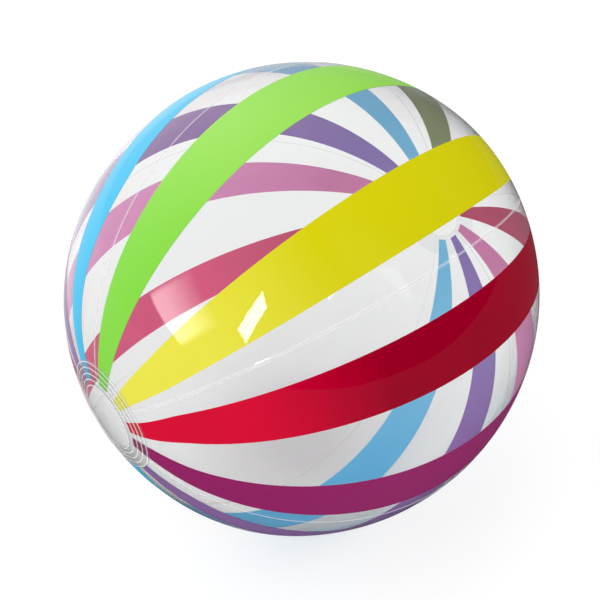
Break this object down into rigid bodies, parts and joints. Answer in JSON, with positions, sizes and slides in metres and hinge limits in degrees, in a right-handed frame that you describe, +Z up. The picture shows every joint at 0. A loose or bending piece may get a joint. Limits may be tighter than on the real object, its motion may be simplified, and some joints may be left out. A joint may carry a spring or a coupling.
{
  "type": "inflatable beach ball",
  "caption": "Large inflated ball of clear vinyl panels with wide printed stripes from pole to pole, round end caps and a push-in blow-up valve.",
  "frame": {"origin": "middle of the flat patch on which the inflated ball rests; the ball's centre is 338.2 mm above it", "axes": "+Z up; the polar axis from end cap to end cap is level and runs along X, with the valve at +X"},
  "size_m": [0.6852, 0.6794, 0.6779],
  "materials": {
    "film_green_yellow": "glossy clear vinyl with one green and one yellow printed stripe",
    "film_red_magenta": "glossy clear vinyl with one red and one magenta printed stripe",
    "film_purple_blue": "glossy clear vinyl with one purple and one light blue printed stripe",
    "film_clear": "glossy clear vinyl, unprinted",
    "valve_vinyl": "soft translucent moulded vinyl"
  },
  "bodies": {
    "ball": {"panel_green_yellow": "film_green_yellow", "panel_red_magenta": "film_red_magenta", "panel_purple_blue": "film_purple_blue", "panel_clear": "film_clear", "panel_red_magenta_lower": "film_red_magenta", "panel_purple_blue_upper": "film_purple_blue", "end_cap_plain": "film_clear", "end_cap_valve": "film_clear", "valve_flange": "valve_vinyl"},
    "stem": {"valve_stem": "valve_vinyl"},
    "plug": {"valve_plug": "valve_vinyl"},
    "flap": {"valve_check_flap": "valve_vinyl"}
  },
  "joints": [
    {"name": "stem_pull", "type": "slide", "parent": "ball", "child": "stem", "axis": [1, 0, 0], "range_m": [0, 0.012]},
    {"name": "plug_swing", "type": "hinge", "parent": "stem", "child": "plug", "pos_m": [0.3433, 0, 0.34819], "axis": [0, -1, 0], "range_deg": [0, 150]},
    {"name": "flap_swing", "type": "hinge", "parent": "stem", "child": "flap", "pos_m": [0.3251, 0, 0.34419], "axis": [0, 1, 0], "range_deg": [0, 60]}
  ]
}
